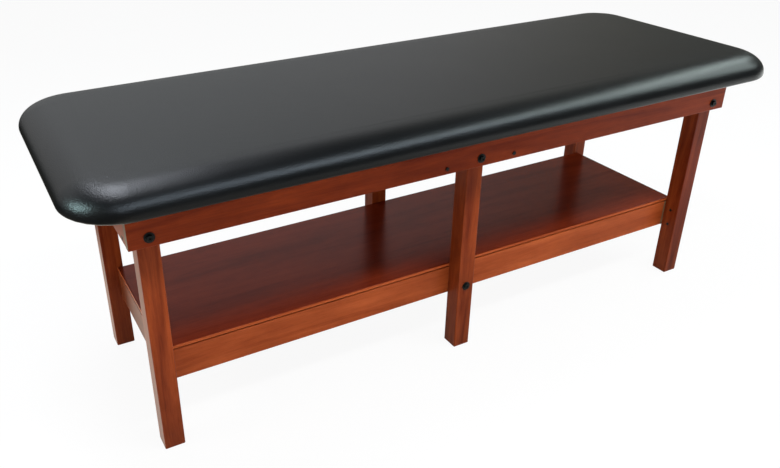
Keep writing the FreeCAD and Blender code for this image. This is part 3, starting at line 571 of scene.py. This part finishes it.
# Staples that hold the folded hem to the deck's underside: flat wire crowns in a row
# near the vinyl's cut edge, a hand's width apart and closer round the corners.

STAPLE_COLOUR = (0.55, 0.54, 0.50)
STAPLE_CROWN = 0.011
STAPLE_WIRE = 0.0006
STAPLE_LEG = 0.0009
STAPLE_EDGE = 0.009
STAPLE_EVERY = 5

staples = bmesh.new()
for side in range(4):
    for step in range(STAPLE_EVERY // 2, side_counts[side], STAPLE_EVERY):
        share = step / side_counts[side]
        inset = DECK_INSET + HEM_WIDTH - STAPLE_EDGE
        here = rim_point(side, share, inset)
        along = (rim_point(side, share + 0.001, inset) - here).normalized()
        across = Vector((-along.y, along.x)) * STAPLE_WIRE
        path = [(-STAPLE_CROWN / 2, STAPLE_LEG), (-STAPLE_CROWN / 2, -STAPLE_WIRE),
                (STAPLE_CROWN / 2, -STAPLE_WIRE), (STAPLE_CROWN / 2, STAPLE_LEG)]
        inside = STAPLE_CROWN / 2 - STAPLE_WIRE
        inner = [(-inside, STAPLE_LEG), (-inside, 0), (inside, 0), (inside, STAPLE_LEG)]
        rows = []
        for outline, way in ((path, 1), (path, -1), (inner, -1), (inner, 1)):
            rows.append([staples.verts.new((*(here + along * run + across * way), pad_bottom + up))
                         for run, up in outline])
        for row, following in zip(rows, rows[1:] + rows[:1]):
            for spot in range(3):
                staples.faces.new((row[spot], row[spot + 1], following[spot + 1], following[spot]))
        staples.faces.new([row[0] for row in rows])
        staples.faces.new([row[3] for row in reversed(rows)])
bmesh.ops.recalc_face_normals(staples, faces=staples.faces)
staple_mesh = bpy.data.meshes.new("hem_staples")
staples.to_mesh(staple_mesh)
staples.free()
hem_staples = bpy.data.objects.new("hem_staples", staple_mesh)
bpy.context.scene.collection.objects.link(hem_staples)
hem_staples.data.materials.append(steel("staple_wire", STAPLE_COLOUR, 1.0, 0.35))
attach(hem_staples, "root")


# Studio: a pale floor that keeps a faint shadow, a white surround under a dim ceiling,
# soft boxes in front, above, left and right, and a camera at the photograph's angle.
# What gloss sees of the floor glows with painted light and shade: dark beyond the bench's left end,
# bright at that end and to the right, dim under the bench, and dark behind it.

FLOOR_HALF = 14.0
FLOOR_GREY = 0.80
PLAIN_SHARE = 0.93
FLOOR_REACH = 2.4
# Painted light and shade in the floor's glow for gloss, across its width and along its depth.
FLOOR_PAINTED_LIGHT_BY_WIDTH = [(0.22, (0.20, 0.20, 0.18)), (0.28, (1.00, 0.92, 0.76)),
                  (0.32, (1.60, 1.50, 1.28)), (0.36, (0.70, 0.70, 0.66)),
                  (0.44, (0.56, 0.56, 0.51)), (0.62, (0.60, 0.60, 0.55)),
                  (0.72, (0.95, 0.96, 0.92)), (0.82, (1.60, 1.66, 1.62))]
FLOOR_PAINTED_SHADE_BY_DEPTH = [(0.64, (1.00, 1.00, 1.00)), (0.71, (0.12, 0.12, 0.11))]
WHITE = (1, 1, 1, 1)

floor_mesh = bpy.data.meshes.new("floor")
floor_mesh.from_pydata([(-FLOOR_HALF, -FLOOR_HALF, 0), (FLOOR_HALF, -FLOOR_HALF, 0),
                        (FLOOR_HALF, FLOOR_HALF, 0), (-FLOOR_HALF, FLOOR_HALF, 0)],
                       [], [(0, 1, 2, 3)])
floor = bpy.data.objects.new("floor", floor_mesh)
bpy.context.scene.collection.objects.link(floor)


def either_of(tree, place, *rays):
    """1 for any of the named kinds of ray, and 0 for the light that falls on things."""
    path = node_at(tree, "ShaderNodeLightPath", place)
    answer = path.outputs[rays[0]]
    for ray in rays[1:]:
        answer = math_at(tree, place, "MAXIMUM", answer, path.outputs[ray])
    return answer


def shader_mix_at(tree, place, share, first, second):
    """The mix of two shaders, or of two backgrounds, by a share."""
    mix = node_at(tree, "ShaderNodeMixShader", place, Fac=share)
    tree.links.new(first, mix.inputs[1])
    tree.links.new(second, mix.inputs[2])
    return mix.outputs["Shader"]


paper, paper_tree, matt = new_surface("pale_floor")
feed(paper_tree, matt, Base_Color=(FLOOR_GREY, FLOOR_GREY, FLOOR_GREY, 1), Roughness=0.9,
     Specular_IOR_Level=0.1)
seen = either_of(paper_tree, (-600, 300), "Is Camera Ray", "Is Transmission Ray")
in_gloss = either_of(paper_tree, (-600, 600), "Is Glossy Ray")
glowing = math_at(paper_tree, (100, 300), "MAXIMUM", in_gloss,
                  math_at(paper_tree, (-100, 300), "MULTIPLY", seen, PLAIN_SHARE))
parts = node_at(paper_tree, "ShaderNodeSeparateXYZ", (-700, -300),
                Vector=object_place(paper_tree, (-900, -300)))
# The floor's glow for gloss is toned with painted light and shade, across and in depth.
tones = []
for level, axis, stops in ((-300, "X", FLOOR_PAINTED_LIGHT_BY_WIDTH), (-550, "Y", FLOOR_PAINTED_SHADE_BY_DEPTH)):
    share = range_at(paper_tree, (-500, level), parts.outputs[axis], From_Min=-FLOOR_REACH,
                     From_Max=FLOOR_REACH)
    tones.append(ramp_at(paper_tree, (-350, level), share, stops))
painted_floor_shading = mix_at(paper_tree, (-250, -450), *tones, 1.0, "MULTIPLY")
tint = mix_at(paper_tree, (-150, -300), WHITE, painted_floor_shading, in_gloss)
glow = node_at(paper_tree, "ShaderNodeEmission", (0, -300), Color=tint, Strength=1.0)
paper_tree.links.new(shader_mix_at(paper_tree, (300, 0), glowing, matt.outputs["BSDF"],
                                   glow.outputs["Emission"]),
                     paper_tree.nodes["Material Output"].inputs["Surface"])
floor.data.materials.append(paper)

ROOM_LIGHT = (0.95, 0.97, 1.0)
ROOM_STRENGTH = 0.38
MIRRORED_STRENGTH = 1.15
BACKDROP_SIDE = (-0.6, 0.8, 0.0)
LIGHT_BY_HEIGHT = [(0.00, (0.45, 0.45, 0.45)), (0.30, (0.45, 0.45, 0.45)),
                   (0.36, (0.52, 0.52, 0.53)), (0.42, (0.90, 0.92, 0.95)),
                   (0.60, (0.94, 0.96, 1.00)), (0.77, (0.22, 0.23, 0.26)),
                   (1.00, (0.10, 0.10, 0.12))]
LIGHT_BY_SIDE = [(0.00, (0.12, 0.12, 0.12)), (0.48, (0.26, 0.26, 0.23)),
                 (0.56, (0.52, 0.51, 0.45)), (0.66, (0.88, 0.88, 0.87)),
                 (0.80, (0.97, 1.00, 1.00)), (1.00, (1.00, 1.00, 1.00))]

room = bpy.data.worlds.new("studio")
room.use_nodes = True
bpy.context.scene.world = room
room_tree = room.node_tree
soft = room_tree.nodes["Background"]
feed(room_tree, soft, Color=(*ROOM_LIGHT, 1), Strength=ROOM_STRENGTH)
heading = node_at(room_tree, "ShaderNodeTexCoord", (-900, -200)).outputs["Generated"]
height = node_at(room_tree, "ShaderNodeSeparateXYZ", (-700, -200), Vector=heading)
walls = ramp_at(room_tree, (-500, -200), height.outputs["Z"], LIGHT_BY_HEIGHT)
facing_it = node_at(room_tree, "ShaderNodeVectorMath", (-700, -500))
facing_it.operation = "DOT_PRODUCT"
facing_it.inputs[1].default_value = BACKDROP_SIDE
room_tree.links.new(heading, facing_it.inputs[0])
turned = range_at(room_tree, (-600, -500), facing_it.outputs["Value"], From_Min=-1.0, From_Max=1.0)
sides = ramp_at(room_tree, (-500, -500), turned, LIGHT_BY_SIDE)
around = mix_at(room_tree, (-350, -300), walls, sides, 1.0, "MULTIPLY")
mirrored = node_at(room_tree, "ShaderNodeBackground", (-200, -200), Color=around,
                   Strength=MIRRORED_STRENGTH)
white = node_at(room_tree, "ShaderNodeBackground", (-200, -400), Color=WHITE, Strength=1.0)
lit = shader_mix_at(room_tree, (100, 0),
                    either_of(room_tree, (-900, 400), "Is Glossy Ray", "Is Transmission Ray"),
                    soft.outputs["Background"], mirrored.outputs["Background"])
shown = shader_mix_at(room_tree, (300, 0), either_of(room_tree, (-900, 700), "Is Camera Ray"), lit,
                      white.outputs["Background"])
room_tree.links.new(shown, room_tree.nodes["World Output"].inputs["Surface"])

COOL_BLUE = (0.72, 0.86, 1.0)
PALE_BLUE = (0.86, 0.91, 1.0)
COOL_GREEN = (0.84, 1.0, 0.98)
COOL_TEAL = (0.66, 0.98, 1.0)
PLAIN_WHITE = (1.0, 1.0, 1.0)


def soft_box(name, start, end, aim, width, power, colour, mirrored=True, lights=True):
    """A long soft box between two points, turned to face a third.

    One that isn't mirrored only lights things, and one that doesn't light them is only
    seen in their gloss.
    """
    start, end = Vector(start), Vector(end)
    middle = (start + end) / 2
    lamp = bpy.data.lights.new(name, "AREA")
    lamp.shape = "RECTANGLE"
    lamp.size = (end - start).length
    lamp.size_y = width
    lamp.energy = power
    lamp.color = colour
    back = (middle - Vector(aim)).normalized()
    along = (end - start).normalized()
    up = back.cross(along).normalized()
    along = up.cross(back)
    stand = bpy.data.objects.new(name, lamp)
    bpy.context.scene.collection.objects.link(stand)
    stand.visible_glossy = mirrored
    stand.visible_diffuse = lights
    facing = Matrix((along, up, back)).transposed().to_4x4()
    stand.matrix_world = Matrix.Translation(middle) @ facing


soft_box("front_strip", (-1.7, -2.55, 2.7), (1.75, -1.05, 2.6), (-0.3, -0.1, 0.5), 0.34, 64,
         COOL_BLUE, lights=False)
soft_box("right_strip", (1.15, -1.45, 2.7), (2.95, 0.45, 2.05), (0.3, -0.1, 0.5), 0.21, 27,
         COOL_GREEN)
soft_box("right_glow", (2.55, -1.05, 2.2), (2.9, -0.35, 2.15), (0.6, -0.3, 0.6), 0.7, 13,
         COOL_GREEN, lights=False)
soft_box("top_box", (-0.9, -0.1, 2.95), (-0.75, 1.5, 2.75), (-0.8, -0.3, 0.65), 0.8, 60, PALE_BLUE)
soft_box("left_box", (-2.7, -0.45, 1.55), (-2.7, 0.45, 1.55), (-0.7, -0.1, 0.4), 0.8, 44,
         COOL_TEAL, lights=False)
soft_box("left_fill", (-2.7, -0.45, 1.55), (-2.7, 0.45, 1.55), (-0.7, -0.1, 0.4), 0.8, 17,
         PLAIN_WHITE, mirrored=False)
soft_box("right_fill", (2.2, -3.0, 1.0), (3.2, -2.0, 1.0), (0.7, -0.2, 0.3), 1.0, 19,
         PLAIN_WHITE, mirrored=False)
soft_box("front_light", (-1.25, -1.45, 2.8), (1.75, -1.45, 2.8), (0.1, -0.3, 0.4), 0.35, 66,
         PLAIN_WHITE, mirrored=False)

CAMERA_PLACE = (-1.04655, -1.53755, 1.23703)
CAMERA_RIGHT = (0.88374707, -0.46788354, -0.00872409)
CAMERA_UP = (0.22337581, 0.40538806, 0.88643317)
CAMERA_AHEAD = (0.41121085, 0.78533147, -0.46277438)
PHOTO_WIDTH = 780
PHOTO_HEIGHT = 468
FOCAL_PIXELS = 776.84
CENTRE_PIXEL = (335.89, 216.53)
SENSOR = 36.0

camera_data = bpy.data.cameras.new("camera")
camera_data.sensor_fit = "HORIZONTAL"
camera_data.sensor_width = SENSOR
camera_data.lens = FOCAL_PIXELS / PHOTO_WIDTH * SENSOR
camera_data.shift_x = (PHOTO_WIDTH / 2 - CENTRE_PIXEL[0]) / PHOTO_WIDTH
camera_data.shift_y = (CENTRE_PIXEL[1] - PHOTO_HEIGHT / 2) / PHOTO_WIDTH
camera_data.clip_end = 100
camera = bpy.data.objects.new("camera", camera_data)
bpy.context.scene.collection.objects.link(camera)
facing = Matrix((CAMERA_RIGHT, CAMERA_UP, -Vector(CAMERA_AHEAD))).transposed()
camera.matrix_world = Matrix.Translation(CAMERA_PLACE) @ facing.to_4x4()
bpy.context.scene.camera = camera
bpy.context.scene.view_settings.view_transform = "Standard"
